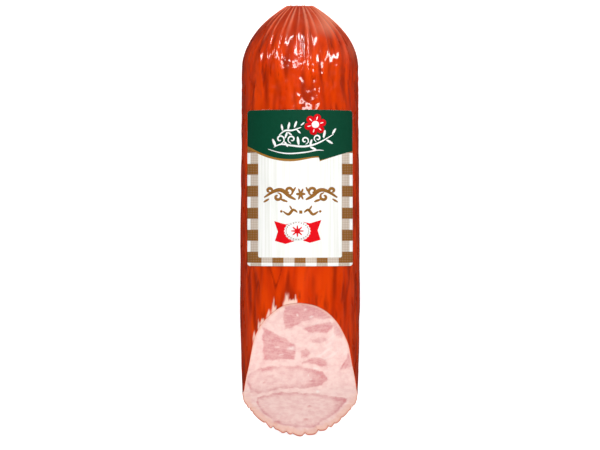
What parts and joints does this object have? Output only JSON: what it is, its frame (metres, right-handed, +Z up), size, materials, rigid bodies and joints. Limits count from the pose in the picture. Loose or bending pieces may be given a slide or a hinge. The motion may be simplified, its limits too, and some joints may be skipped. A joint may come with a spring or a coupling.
{
  "type": "cured sausage",
  "caption": "Cooked and cured sausage in an orange-red smoked casing, cut off at a slant, with a gathered clipped end and a paper label; lies on its side.",
  "frame": {"origin": "middle of the surface that the sausage lies on: halfway along it in Y, on its plane of symmetry in X, at its underside in Z", "axes": "+Y along the sausage's axis towards the gathered and clipped end, +Z up through the label, +X square to both"},
  "size_m": [0.065, 0.234, 0.0647],
  "materials": {
    "meat": "moist satin",
    "casing": "glossy",
    "clip": "satin",
    "label": "satin print"
  },
  "bodies": {
    "root": {"meat": "meat", "casing": "casing", "clip": "clip", "label": "label"}
  },
  "joints": []
}
